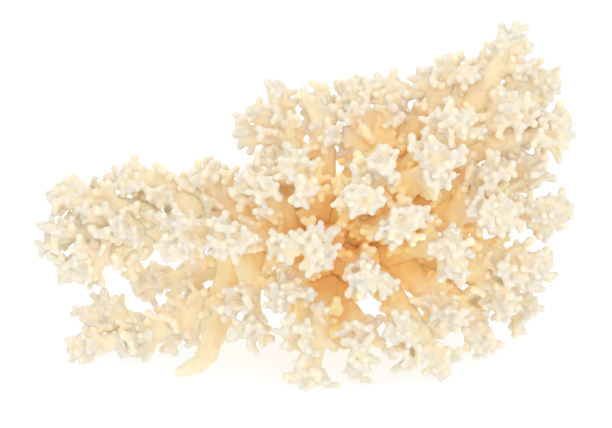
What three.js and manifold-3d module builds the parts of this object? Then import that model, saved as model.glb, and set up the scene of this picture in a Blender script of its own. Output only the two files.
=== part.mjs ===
// Branching coral: a bleached bushy colony, split at its main forks.
// It stands on the flat cut of its stump and on the tips of its lowest branches.
// Units are millimetres, +Z is up, and the origin is the centre of the stump's cut.
import * as THREE from "three";
import { mergeVertices } from "three/addons/utils/BufferGeometryUtils.js";
import Module from "manifold-3d";

const wasm = await Module();
wasm.setup();

// Every point of the colony is given on a front drawing as [across, up, out]:
// across from the middle, up from the foremost foot, and out towards the front.
// The drawing leans back, and the foremost foot stands this far out on the floor.
const DRAWING_LEAN = THREE.MathUtils.degToRad(15);
const FOREMOST_FOOT_OUT = 40;
const STUMP_ACROSS = 4;
const STUMP_BEHIND = 26;

const FORK_GAP = 0.3; // clearance between two pieces that meet at a fork
const WELD = 0.01; // corners closer than this are one
const FORK_ANGLE = THREE.MathUtils.degToRad(50); // between a stem and a shoot that leaves it
const STEM = { sides: 5, frames: 24, plainStep: 18, budStep: 5.5, budLead: 4, dome: 0.5 };
const SHOOT = { tipRadius: 2.0, beyond: 1.5, ridge: 0.8, leastSlope: 0.1, lift: 0.2, sink: 1, crossing: 0.3 };
const LEAN_COSTS = [2, 1.4, 3, 6, 1.1]; // what a slanting start costs a shoot, tried in turn
const CORAL = { color: 0xeadfc4, roughness: 0.85, metalness: 0 };

// One row for each piece: its stem from root to end, the stem's radius at root and end,
// and the tips of the shoots that grow from it. A piece comes after the one that carries it.
// The stump is rounder than the branches.
const COLONY = [
  {
    name: "stump",
    sides: 9,
    girth: [10.5, 8, 9.5, 10, 7],
    stem: [[3, 12, -23], [5, 26, -20], [8, 39, -16], [12, 51, -11], [14, 60, -8]],
    shoots: [],
  },
  // Left arm
  {
    name: "left_limb",
    girth: [7.5, 6],
    stem: [[8, 47, -13], [-12, 53, -5], [-34, 55, 2], [-54, 53, 8]],
    shoots: [[-74, 60, 18], [-67, 60, 20], [-63, 57, 22], [-70, 52, 22], [-57, 51, 22]],
  },
  {
    name: "left_upper_branch",
    girth: [4.2, 3.2],
    stem: [[-48, 54, 6], [-60, 60, 7], [-71, 64, 6]],
    shoots: [[-85, 66, 8], [-84, 62, 12], [-80, 68, 4], [-74, 67, 2], [-83, 60, 4]],
  },
  {
    name: "left_tip_branch",
    girth: [5, 3.6],
    stem: [[-52, 53, 8], [-64, 53, 9], [-75, 52, 10]],
    shoots: [[-88, 55, 12], [-86, 51, 8], [-88, 47, 12], [-79, 56, 14], [-85, 54, 16]],
  },
  {
    name: "left_lower_branch",
    girth: [4.8, 3.5],
    stem: [[-50, 52, 7], [-62, 47, 8], [-73, 43, 9]],
    shoots: [[-77, 44, 18], [-81, 37, 8], [-77, 37, 11], [-71, 36, 2], [-85, 44, 10], [-76, 49, 19]],
  },
  {
    name: "left_top_branch",
    girth: [4.8, 3.6],
    stem: [[-34, 55, 2], [-41, 64, 1], [-48, 69, 2], [-57, 70, 5]],
    shoots: [
      [-67, 71, 6], [-62, 70, 10], [-58, 67, 14], [-53, 66, 14], [-60, 72, 2], [-50, 63, 12], [-46, 63, 9],
    ],
  },
  {
    name: "left_front_branch",
    girth: [4.2, 3],
    stem: [[-27, 54, 0], [-33, 53, 13], [-39, 52, 24]],
    shoots: [
      [-47, 57, 31], [-43, 60, 30], [-42, 56, 36], [-37, 57, 31],
      [-46, 51, 32], [-48, 46, 30], [-38, 45, 32], [-34, 47, 30],
    ],
  },
  {
    name: "left_shoulder_branch",
    girth: [4.2, 3.2],
    stem: [[-22, 54, -1], [-27, 61, 3], [-31, 67, 6]],
    shoots: [[-37, 72, 8], [-31, 73, 6], [-26, 73, 8], [-36, 69, 13], [-33, 62, 15]],
  },
  {
    name: "left_hanging_branch",
    girth: [4, 3.2],
    stem: [[-18, 53.5, -2.5], [-19, 44, 8], [-18, 34, 18], [-18, 26, 22]],
    shoots: [
      [-25, 33, 26], [-28, 26, 23], [-24, 19, 28], [-25, 17, 24],
      [-18, 14, 24], [-19, 20, 30], [-14, 17, 26], [-15, 21, 30], [-19, 28, 31],
    ],
  },
  {
    name: "left_inner_branch",
    girth: [4.2, 3.2],
    stem: [[-10, 52.5, -5.5], [-15, 51, 10], [-22, 50, 24]],
    shoots: [
      [-31, 56, 31], [-28, 57, 30], [-26, 54, 35], [-30, 46, 32],
      [-24, 46, 36], [-19, 52, 37],
    ],
  },
  {
    name: "left_high_front_branch",
    girth: [4.4, 3.4],
    stem: [[-5, 51, -7.5], [-9, 60, 8], [-15, 67, 20]],
    shoots: [
      [-22, 71, 27], [-18, 74, 22], [-14, 70, 32], [-15, 63, 34], [-10, 66, 34], [-24, 66, 25], [-14, 59, 32],
    ],
  },
  // Low left arm and its leg, behind
  {
    name: "low_left_limb",
    girth: [4.6, 3.6],
    stem: [[-24, 54.3, -1], [-24, 42, -7], [-28, 31, -6], [-39, 26, -2], [-56, 18, 3], [-69, 15, 6]],
    shoots: [
      [-79, 16, 6], [-78, 12, 6], [-73, 11, 8], [-74, 19, 4], [-72, 15, 13], [-62, 13, 8],
      [-53, 18, 12], [-54, 14, 6], [-44, 16, 2], [-39, 17, -1],
    ],
  },
  {
    name: "low_left_fork",
    girth: [3.4, 2.8],
    stem: [[-52, 20, 1.5], [-60, 22, 0], [-66, 25, -1]],
    shoots: [[-77, 26, 0], [-74, 23, 3], [-70, 31, -4], [-66, 30, 1]],
  },
  {
    name: "low_left_leg",
    girth: [3.6, 2.9],
    stem: [[-29, 30, -5.5], [-30, 20, 4], [-32, 11, 13], [-41, 7, 19]],
    shoots: [],
  },
  {
    name: "back_low_left_branch",
    girth: [4.2, 3.2],
    stem: [[-20, 54, -2], [-26, 45, -11], [-38, 38, -16], [-48, 36, -18]],
    shoots: [[-60, 38, -18], [-56, 40, -15], [-58, 33, -20], [-53, 30, -20], [-50, 38, -11], [-39, 34, -10]],
  },
  // Top
  {
    name: "tall_left_branch",
    girth: [4.6, 3.2],
    stem: [[10, 57, -9], [2, 68, 0], [-5, 80, 3], [-9, 91, 4]],
    shoots: [
      [-12, 101, 4], [-9, 99, 9], [-6, 100, 2], [-5, 97, -3], [-17, 93, 8], [-22, 91, 6],
      [-23, 87, 2], [-22, 83, 4], [-15, 86, 13], [-10, 91, 11],
    ],
  },
  {
    name: "upper_front_branch",
    girth: [4.4, 3.2],
    stem: [[8, 55, -10], [4, 63, 8], [-2, 71, 24]],
    shoots: [
      [-6, 81, 27], [-1, 79, 30], [-6, 76, 34], [0, 76, 35],
      [-5, 72, 38], [-2, 67, 41], [2, 66, 40], [-1, 62, 40],
    ],
  },
  {
    name: "upper_left_inner_branch",
    girth: [4.2, 3.2],
    stem: [[7, 55, -11], [0, 63, -2], [-7, 71, 6]],
    shoots: [[-13, 78, 9], [-9, 80, 6], [-5, 78, 12], [-11, 73, 14]],
  },
  {
    name: "top_left_branch",
    girth: [4.6, 3.4],
    stem: [[11, 58, -8.5], [5.5, 69, 0], [6, 82, 5], [5, 91, 6]],
    shoots: [[4, 99, 6], [8, 97, 4], [10, 94, 8], [1, 94, 6], [1, 88, 8], [9, 87, 15], [8, 83, 17]],
  },
  {
    name: "top_middle_branch",
    girth: [4.6, 3.4],
    stem: [[13, 59, -8], [17, 73, 1], [18, 85, 6], [17, 93, 6]],
    shoots: [
      [13, 102, 4], [17, 103, 1], [13, 99, 9], [17, 93, 17], [13, 91, 15], [20, 95, 13],
      [12, 85, 8], [12, 80, 6],
    ],
  },
  {
    name: "top_inner_branch",
    girth: [4.4, 3.2],
    stem: [[14, 59, -8.5], [21, 73, -1], [25, 86, 3], [27, 95, 3]],
    shoots: [
      [23, 104, 4], [21, 101, 9], [26, 103, 1], [28, 95, 13], [34, 99, 8], [39, 99, 3],
      [31, 90, 13], [30, 100, 1], [33, 95, 4],
    ],
  },
  {
    name: "top_right_branch",
    girth: [4.8, 3.4],
    stem: [[13, 58, -9], [27, 77, -6], [39, 93, -1], [45, 102, 0]],
    shoots: [
      [45, 110, 2], [49, 110, -2], [40, 107, 6], [37, 105, 8], [50, 107, 0], [42, 104, 9],
      [52, 104, 8], [56, 104, 10], [57, 107, 5],
    ],
  },
  {
    name: "spire_limb",
    girth: [6.5, 4],
    stem: [[13, 55, -10], [30, 66, -7], [46, 82, -5], [58, 98, -2], [66, 111, 0]],
    shoots: [
      [69, 120, 2], [66, 120, -2], [64, 117, 6], [62, 115, 2], [73, 117, 0], [75, 114, 2],
      [72, 107, 8], [75, 108, 3], [59, 112, -6], [58, 108, -8],
    ],
  },
  // Right side
  {
    name: "right_crown_branch",
    girth: [4.4, 3.4],
    stem: [[46, 82, -5], [56, 87, 3], [65, 91, 9]],
    shoots: [[68, 99, 14], [71, 97, 11], [66, 94, 17], [73, 95, 7], [77, 95, 4], [71, 86, 19]],
  },
  {
    name: "right_back_crown_branch",
    girth: [4, 3.2],
    stem: [[52, 90, -3.5], [63, 97, -7], [74, 101, -8]],
    shoots: [[80, 105, -8], [83, 102, -6], [82, 100, -11], [80, 95, -12], [77, 104, -4]],
  },
  {
    name: "right_high_branch",
    girth: [4.8, 3.6],
    stem: [[36, 72, -6], [53, 79, -1], [67, 84, 3], [77, 86, 4]],
    shoots: [
      [83, 91, 4], [87, 91, 2], [87, 87, 7], [87, 83, 4],
      [84, 79, 0], [79, 90, 11], [80, 82, 10], [73, 91, 5],
    ],
  },
  {
    name: "upper_right_front_branch",
    girth: [4.4, 3.4],
    stem: [[32, 68, -6.5], [39, 77, 11], [46, 85, 27]],
    shoots: [
      [44, 92, 30], [48, 95, 28], [46, 89, 36], [51, 91, 34], [55, 92, 30], [52, 88, 36], [57, 86, 27],
    ],
  },
  {
    name: "right_front_branch",
    girth: [5, 3.6],
    stem: [[17, 57, -9.5], [31, 66, 14], [42, 74, 33]],
    shoots: [
      [39, 85, 36], [35, 82, 37], [38, 78, 40], [42, 80, 41], [50, 79, 39], [52, 80, 35], 
      [40, 71, 43], [43, 68, 43], [47, 70, 41],
    ],
  },
  {
    name: "right_limb",
    girth: [7, 4.4],
    stem: [[13, 52, -11], [32, 57, -7], [50, 60, -2], [70, 60, 4]],
    shoots: [
      [75, 63, 12], [77, 57, 12], [82, 63, 6], [86, 64, 3], [88, 60, 6], [87, 57, 3], [81, 51, 2],
      [78, 52, 6], 
    ],
  },
  {
    name: "right_upper_branch",
    girth: [4.4, 3.4],
    stem: [[38, 58.5, -5.5], [50, 66, 5], [59, 71, 14]],
    shoots: [[62, 77, 18], [67, 75, 15], [60, 73, 22], [64, 71, 22], [61, 67, 24], [54, 74, 12]],
  },
  {
    name: "right_back_branch",
    girth: [4.2, 3.4],
    stem: [[46, 59.5, -3.5], [59, 67, -3], [70, 72, -1]],
    shoots: [[79, 75, 2], [81, 71, 4], [77, 72, 9], [76, 68, 4], [73, 79, 3], [68, 78, 2]],
  },
  {
    name: "right_middle_front_branch",
    girth: [4.8, 3.6],
    stem: [[34, 57.5, -6.5], [47, 59, 9], [58, 60, 22]],
    shoots: [
      [57, 65, 28], [55, 61, 30], [60, 62, 32], [59, 56, 30], [62, 53, 26],
      [66, 61, 28], [66, 54, 26], [71, 55, 21], [71, 61, 21],
    ],
  },
  {
    name: "low_right_limb",
    girth: [6.5, 4.4],
    stem: [[12, 48, -13], [30, 46, -9], [46, 45, -3], [58, 44, 3], [67, 43, 7]],
    shoots: [
      [72, 46, 9], [82, 44, 4], [80, 40, 8], [78, 33, 8],
      [66, 42, 18], [66, 38, 18], [70, 36, 14], [75, 35, 9], [82, 37, 5],
    ],
  },
  {
    name: "low_right_front_branch",
    girth: [4.6, 3.4],
    stem: [[24, 46.7, -10.5], [34, 48, 10], [45, 48, 27]],
    shoots: [
      [47, 53, 34], [50, 51, 32], [44, 49, 36], [43, 45, 35], [49, 47, 36], [54, 46, 30],
      [46, 38, 31], [52, 39, 32], [51, 36, 31],
    ],
  },
  {
    name: "right_hanging_branch",
    girth: [4, 3.2],
    stem: [[48, 45, -2], [58, 38, 4], [64, 32, 8]],
    shoots: [[66, 29, 14], [67, 26, 12], [65, 24, 6], [62, 28, 10]],
  },
  {
    name: "right_hanging_back_branch",
    girth: [4, 3.2],
    stem: [[40, 45.4, -5.5], [58, 41, -9], [69, 30, -7]],
    shoots: [[77, 27, -5], [74, 24, -2], [71, 19, -2], [70, 21, -7], [75, 31, -8]],
  },
  {
    name: "right_leg",
    girth: [5, 3.2],
    stem: [[11, 44, -14], [28, 43, -9], [42, 37, -3], [52, 28, 2], [57, 20, 4]],
    shoots: [[58, 15, 4], [59, 12, 4], [63, 14, 2], [54, 19, 9], [55, 17, 8], [60, 26, -4], [58, 31, -4]],
  },
  {
    name: "low_right_middle_branch",
    girth: [4.2, 3.4],
    stem: [[28, 43, -9], [37, 36, 6], [44, 27, 18]],
    shoots: [
      [42, 26, 24], [41, 23, 22], [47, 27, 27], [53, 23, 21], [47, 20, 23],
    ],
  },
  {
    name: "front_right_leg",
    girth: [4.6, 3.2],
    stem: [[10, 43, -14], [22, 38, -1], [33, 26, 15], [42, 13, 26]],
    shoots: [
      [50, 11, 28], [46, 5, 29], [42, 7, 30], [30, 24, 38], [33, 23, 35], [27, 20, 38], 
      [28, 13, 36], [33, 17, 38], [37, 13, 34], [31, 8, 32], [35, 9, 33],
    ],
  },
  // Front
  {
    name: "front_middle_leg",
    girth: [4.8, 3.4],
    stem: [[6, 34, -17], [11, 28, 1], [17, 21, 19], [18, 12, 33]],
    shoots: [
      [24, 23, 25], [12, 20, 36], [18, 22, 39], [17, 15, 42], [20, 17, 40], [22, 11, 36],
      [14, 9, 38], [15, 6, 35], [19, 9, 38], [19, 4, 32],
    ],
  },
  {
    name: "front_leg",
    girth: [5, 4.2],
    stem: [[6, 34, -17], [5, 29, 5], [3, 22, 23], [2, 9, 35]],
    shoots: [
      [5, 28, 35], [-5, 24, 42], [-1, 21, 44], [-8, 20, 40],
      [-7, 16, 38], [0, 15, 43], [-2, 10, 42], [-5, 5, 39], [-2, 2, 37], [6, 4, 37], [8, 1, 34],
    ],
  },
  {
    name: "front_low_left_branch",
    girth: [4.4, 3.2],
    stem: [[7, 44, -14], [0, 41, 4], [-5, 35, 24]],
    shoots: [[-11, 33, 34], [-8, 29, 38], [-11, 28, 33], [2, 32, 37], [-8, 36, 31]],
  },
  {
    name: "middle_high_front_branch",
    girth: [4.2, 3.2],
    stem: [[12, 58, -9], [18, 66, 14], [24, 72, 34]],
    shoots: [[25, 80, 40], [29, 78, 38], [22, 78, 41], [24, 74, 46], [28, 71, 43]],
  },
  {
    name: "middle_front_branch",
    girth: [4.2, 3.2],
    stem: [[11, 55, -10], [14, 60, 14], [17, 64, 36]],
    shoots: [
      [16, 73, 41], [20, 70, 42], [14, 67, 44], [17, 65, 48],
      [15, 61, 46], [17, 59, 43], [24, 65, 44], [23, 61, 43],
    ],
  },
  {
    name: "middle_right_front_branch",
    girth: [4.4, 3.4],
    stem: [[13, 53, -11], [22, 54, 12], [31, 56, 34]],
    shoots: [
      [36, 57, 46], [33, 60, 43], [40, 58, 38],
      [28, 53, 45], [24, 52, 43], [30, 49, 43], [32, 53, 43],
    ],
  },
  {
    name: "middle_left_front_branch",
    girth: [4.6, 3.4],
    stem: [[10, 50, -12], [5, 50, 12], [1, 48, 33]],
    shoots: [
      [1, 53, 42], [9, 53, 39], [9, 47, 41], [3, 44, 46], [8, 43, 40], [2, 40, 42],
      [-3, 51, 42], [-10, 51, 38], [-7, 49, 41], [-12, 47, 35], [-9, 45, 40],
    ],
  },
  {
    name: "middle_low_front_branch",
    girth: [4.2, 3.2],
    stem: [[10, 46, -13], [16, 42, 10], [20, 39, 32]],
    shoots: [
      [20, 43, 38], [23, 40, 42], [17, 38, 42], [15, 35, 39],
      [19, 34, 43], [27, 38, 38], [29, 36, 35], [26, 33, 37],
    ],
  },
  // Back
  {
    name: "back_left_branch",
    girth: [4.8, 3.6],
    stem: [[6, 52, -12], [-10, 56, -20], [-22, 62, -28]],
    shoots: [[-38, 66, -28], [-33, 58, -38], [-26, 70, -38], [-20, 60, -46], [-30, 66, -34]],
  },
  {
    name: "back_top_left_branch",
    girth: [4.6, 3.4],
    stem: [[9, 57, -10], [0, 67, -18], [-6, 76, -25]],
    shoots: [[-12, 90, -22], [-5, 92, -30], [-10, 82, -37], [-2, 70, -40], [6, 85, -34]],
  },
  {
    name: "back_top_branch",
    girth: [4.8, 3.6],
    stem: [[14, 59, -10], [18, 70, -18], [22, 82, -25]],
    shoots: [[16, 97, -24], [26, 97, -28], [18, 86, -41], [29, 85, -38], [22, 74, -46]],
  },
  {
    name: "back_top_right_branch",
    girth: [4.8, 3.6],
    stem: [[18, 59, -10], [32, 70, -18], [44, 80, -25]],
    shoots: [
      [46, 96, -22], [55, 92, -28], [42, 85, -41], [55, 81, -38],
      [46, 70, -44], [31, 78, -33], [54, 73, -35],
    ],
  },
  {
    name: "back_right_branch",
    girth: [4.8, 3.6],
    stem: [[18, 54, -12], [38, 60, -20], [54, 64, -27]],
    shoots: [
      [72, 75, -24], [70, 65, -33], [58, 68, -43], [66, 56, -38],
      [46, 58, -44], [38, 67, -36], [39, 53, -38],
    ],
  },
  {
    name: "back_low_right_branch",
    girth: [4.6, 3.4],
    stem: [[16, 46, -14], [36, 46, -22], [50, 46, -29]],
    shoots: [[68, 51, -26], [64, 45, -34], [54, 50, -42], [49, 40, -38], [40, 44, -46], [38, 37, -32]],
  },
  {
    name: "back_middle_branch",
    girth: [4.6, 3.4],
    stem: [[12, 53, -14], [14, 56, -26], [14, 58, -38]],
    shoots: [[4, 60, -50], [14, 63, -53], [24, 60, -51], [10, 53, -53], [20, 52, -52]],
  },
  {
    name: "back_low_branch",
    girth: [4.4, 3.2],
    stem: [[10, 44, -16], [18, 42, -28], [24, 41, -37]],
    shoots: [[20, 46, -50], [34, 42, -46], [30, 35, -44], [17, 37, -46]],
  },
  {
    name: "back_inner_left_branch",
    girth: [4.6, 3.4],
    stem: [[7, 48, -15], [-3, 47, -26], [-10, 47, -36]],
    shoots: [[-19, 52, -46], [-8, 54, -50], [-5, 43, -48], [-15, 40, -43], [-25, 44, -36]],
  },
];

// A point of the front drawing, in the colony's own frame.
function stand([across, up, out]) {
  const lift = FOREMOST_FOOT_OUT * Math.sin(DRAWING_LEAN);
  return new THREE.Vector3(
    across - STUMP_ACROSS,
    up * Math.sin(DRAWING_LEAN) - out * Math.cos(DRAWING_LEAN) - STUMP_BEHIND,
    up * Math.cos(DRAWING_LEAN) + out * Math.sin(DRAWING_LEAN) - lift,
  );
}

// Where on its stem a shoot leaves: the way along the stem and then the shoot is shortest,
// with the stem's share weighed by the fork angle.
function forkAt(curve, length, tip) {
  let best = { cost: Infinity, t: 1 };
  for (let i = 0; i <= STEM.frames; i++) {
    const t = i / STEM.frames;
    const cost = curve.getPointAt(t).distanceTo(tip) + Math.cos(FORK_ANGLE) * t * length;
    if (cost < best.cost) best = { cost, t };
  }
  return best.t;
}

// The frames of the stem that carry a ring: far apart on its plain part, close where it buds.
function ringSteps(length, firstFork) {
  const perStep = length / STEM.frames;
  const budFrom = firstFork * length - STEM.budLead;
  const steps = [STEM.frames];
  while (steps[0] > 0) {
    const spacing = steps[0] * perStep > budFrom ? STEM.budStep : STEM.plainStep;
    steps.unshift(Math.max(0, steps[0] - Math.max(1, Math.round(spacing / perStep))));
  }
  return steps;
}

function radiusAt(girth, t) {
  const span = t * (girth.length - 1);
  const lower = Math.min(Math.floor(span), girth.length - 2);
  return THREE.MathUtils.lerp(girth[lower], girth[lower + 1], span - lower);
}

// The stem as corners and outward faces: rings along the curve, a flat root and a domed end.
function stemShape(piece, curve, tips, grow) {
  const length = curve.getLength();
  const frames = curve.computeFrenetFrames(STEM.frames);
  const firstFork = Math.min(1, ...tips.map((tip) => forkAt(curve, length, tip)));
  const steps = ringSteps(length, firstFork);
  const sides = piece.sides ?? STEM.sides;
  const cornerFactor = 1 / Math.sqrt(Math.cos(Math.PI / sides)); // corners stand out, faces lie in
  const corners = [];
  for (const step of steps) {
    const t = step / STEM.frames;
    const radius = (radiusAt(piece.girth, t) + grow) * cornerFactor;
    for (let side = 0; side < sides; side++) {
      const turn = (side * 2 * Math.PI) / sides;
      const corner = curve.getPointAt(t);
      corner.addScaledVector(frames.normals[step], radius * Math.cos(turn));
      corner.addScaledVector(frames.binormals[step], radius * Math.sin(turn));
      corners.push(corner);
    }
  }
  const last = steps.length - 1;
  const at = (ring, side) => ring * sides + (side % sides);
  const domeHeight = radiusAt(piece.girth, 1) * STEM.dome + grow;
  corners.push(curve.getPointAt(1).addScaledVector(frames.tangents.at(-1), domeHeight));
  const faces = [];
  for (let side = 0; side < sides; side++) {
    for (let ring = 0; ring < last; ring++) {
      faces.push([at(ring, side), at(ring, side + 1), at(ring + 1, side + 1), at(ring + 1, side)]);
    }
    faces.push([at(last, side), at(last, side + 1), corners.length - 1]);
  }
  const root = [...Array(sides).keys()].reverse();
  return { corners, faces, root };
}

function faceMiddle(corners, face) {
  const middle = new THREE.Vector3();
  for (const i of face) middle.addScaledVector(corners[i], 1 / face.length);
  return middle;
}

function faceNormal(corners, face) {
  const [a, b, c] = face.map((i) => corners[i]);
  const across = face.length > 3 ? corners[face[3]].clone().sub(b) : c.clone().sub(b);
  return c.clone().sub(a).cross(across).normalize();
}

// Each shoot takes the free face of the stem that looks towards its tip from nearest by, out of
// those from which it passes clear of the stem and of the shoots that already have their face.
// A shoot with no such face is set on its nearest one and joined where it runs into the others.
function shareFaces(corners, faces, tips, stem) {
  const ways = LEAN_COSTS.map((cost) => shareAtCost(corners, faces, tips, stem, cost));
  return ways.reduce((best, way) => (way.joined.length < best.joined.length ? way : best));
}

function shareAtCost(corners, faces, tips, stem, leanCost) {
  const pairs = [];
  faces.forEach((face, f) => {
    const middle = faceMiddle(corners, face);
    const normal = faceNormal(corners, face);
    tips.forEach((tip, s) => {
      const way = tip.clone().sub(middle);
      const slope = normal.dot(way) / way.length();
      if (slope > SHOOT.leastSlope) pairs.push({ f, s, cost: way.length() * (leanCost - slope) });
    });
  });
  pairs.sort((a, b) => a.cost - b.cost);
  const clear = [];
  const standing = [stem];
  for (const { f, s } of pairs) {
    if (clear.some((pair) => pair.f === f || pair.s === s)) continue;
    const shoot = shootAlone(corners, faces[f], tips[s], SHOOT.lift);
    if (standing.some((other) => cross(shoot, other))) continue;
    clear.push({ f, s });
    standing.push(shoot);
  }
  const placed = new Set(clear.map((pair) => pair.s));
  const joined = [];
  for (const { f, s } of pairs) {
    if (placed.has(s)) continue;
    joined.push({ f, s });
    placed.add(s);
  }
  return { clear, joined };
}

function cross(a, b) {
  return nearby(a, b) && a.intersect(b).volume() > SHOOT.crossing;
}

// A shoot by itself, from its face moved out along the face's normal.
function shootAlone(corners, face, tip, lift) {
  const normal = faceNormal(corners, face);
  const base = face.map((i) => corners[i].clone().addScaledVector(normal, lift));
  const rim = base.map((_, k) => k);
  const skin = drawOut(base, rim, tip, 0);
  return toSolid(base, [rim.reverse(), ...skin]);
}

// A face drawn out to a tip: tapered sides and a low ridge.
function drawOut(corners, face, tip, grow) {
  const middle = faceMiddle(corners, face);
  const along = tip.clone().sub(middle).normalize();
  const rim = face.map((i, k) => {
    const spoke = corners[i].clone().sub(middle);
    spoke.addScaledVector(along, -spoke.dot(along)).setLength(SHOOT.tipRadius + grow);
    const rise = SHOOT.beyond + grow + (k % 2 ? 0 : SHOOT.ridge);
    return corners.push(tip.clone().add(spoke).addScaledVector(along, rise)) - 1;
  });
  const walls = face.map((corner, k) => {
    const next = (k + 1) % face.length;
    return [corner, face[next], rim[next], rim[k]];
  });
  return [...walls, rim];
}

// A piece's stem and shoots as one closed skin, and the clearance that its neighbours leave:
// the stem grown by the gap, and a wider sleeve around each shoot.
function growPiece(piece) {
  const curve = new THREE.CatmullRomCurve3(piece.stem.map(stand));
  const tips = piece.shoots.map(stand);
  const grownStem = stemShape(piece, curve, tips, FORK_GAP);
  const { corners, faces, root } = stemShape(piece, curve, tips, 0);
  const stem = toSolid(corners, [root, ...faces]);
  const { clear, joined } = shareFaces(corners, faces, tips, stem);
  const sleeves = [...clear, ...joined].map(({ f, s }) => sleeve(corners, faces[f], tips[s]));
  const added = joined.map(({ f, s }) => shootAlone(corners, faces[f], tips[s], -SHOOT.sink));
  const plain = faces.filter((_, f) => !clear.some((pair) => pair.f === f));
  const drawn = clear.flatMap(({ f, s }) => drawOut(corners, faces[f], tips[s], 0));
  const skin = toSolid(corners, [root, ...plain, ...drawn]);
  return {
    solid: added.reduce((whole, shoot) => whole.add(shoot), skin),
    clearance: [toSolid(grownStem.corners, [grownStem.root, ...grownStem.faces]), ...sleeves],
  };
}

function sleeve(corners, face, tip) {
  const middle = faceMiddle(corners, face);
  const base = face.map((i) => {
    const spoke = corners[i].clone().sub(middle);
    return spoke.setLength(spoke.length() + 2 * FORK_GAP).add(middle);
  });
  const rim = base.map((_, k) => k);
  const skin = drawOut(base, rim, tip, FORK_GAP);
  return toSolid(base, [rim.reverse(), ...skin]);
}

function toSolid(corners, faces) {
  const triangles = faces.flatMap((face) => face.slice(2).flatMap((c, k) => [face[0], face[k + 1], c]));
  return solidFrom(new THREE.BufferGeometry().setFromPoints(corners).setIndex(triangles));
}

function solidFrom(geometry) {
  return new wasm.Manifold(
    new wasm.Mesh({
      numProp: 3,
      vertProperties: new Float32Array(geometry.getAttribute("position").array),
      triVerts: new Uint32Array(geometry.index.array),
    }),
  );
}

function geometryFrom(solid) {
  const mesh = solid.getMesh();
  const geometry = new THREE.BufferGeometry();
  geometry.setAttribute("position", new THREE.BufferAttribute(mesh.vertProperties, mesh.numProp));
  geometry.setIndex(new THREE.BufferAttribute(mesh.triVerts, 1));
  return mergeVertices(geometry, WELD);
}

function nearby(a, b) {
  const p = a.boundingBox();
  const q = b.boundingBox();
  return [0, 1, 2].every((k) => p.min[k] < q.max[k] && q.min[k] < p.max[k]);
}

function cutBy(solid, cutters) {
  const near = cutters.filter((cutter) => nearby(solid, cutter));
  return near.reduce((left, cutter) => left.subtract(cutter), solid);
}

// The largest of the parts that a cut leaves, with its hair-thin necks welded shut or parted.
function largestPart(solid) {
  const welded = solidFrom(geometryFrom(solid));
  return welded.decompose().sort((a, b) => b.volume() - a.volume())[0];
}

// What lies under the floor is cut away: the stump's cut and the worn tips of the feet are flat.
function underFloor() {
  const side = 400;
  const block = new THREE.BoxGeometry(side, side, side).translate(0, 0, -side / 2);
  block.deleteAttribute("normal");
  block.deleteAttribute("uv");
  return solidFrom(mergeVertices(block));
}

function buildColony() {
  const floor = underFloor();
  const colony = new THREE.Group();
  const taken = [floor];
  for (const piece of COLONY) {
    const { solid, clearance } = growPiece(piece);
    const part = geometryFrom(largestPart(cutBy(solid, taken)));
    part.computeVertexNormals();
    const mesh = new THREE.Mesh(part, new THREE.MeshStandardMaterial(CORAL));
    mesh.name = piece.name;
    colony.add(mesh);
    taken.push(...clearance);
  }
  return colony;
}

export default buildColony();
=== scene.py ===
import math

import bmesh
import bpy
import numpy as np
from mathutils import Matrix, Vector


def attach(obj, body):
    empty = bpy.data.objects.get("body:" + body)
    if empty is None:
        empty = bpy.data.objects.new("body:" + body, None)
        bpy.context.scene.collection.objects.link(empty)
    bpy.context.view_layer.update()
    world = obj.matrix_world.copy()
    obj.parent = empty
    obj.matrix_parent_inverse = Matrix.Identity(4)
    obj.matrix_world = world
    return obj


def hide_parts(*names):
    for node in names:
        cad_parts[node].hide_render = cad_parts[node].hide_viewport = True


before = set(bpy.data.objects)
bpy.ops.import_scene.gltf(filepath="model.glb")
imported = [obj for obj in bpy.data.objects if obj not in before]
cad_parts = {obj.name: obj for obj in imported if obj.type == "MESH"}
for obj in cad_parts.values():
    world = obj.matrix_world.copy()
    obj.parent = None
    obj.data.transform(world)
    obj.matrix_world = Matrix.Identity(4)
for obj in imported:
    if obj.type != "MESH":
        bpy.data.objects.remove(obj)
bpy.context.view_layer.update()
scene = bpy.context.scene

# the front drawing: every point is across, up and out in mm, and the drawing leans back
drawing = dict(lean=math.radians(15), footOut=40.0, stumpAcross=4.0, stumpBehind=26.0)

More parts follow.
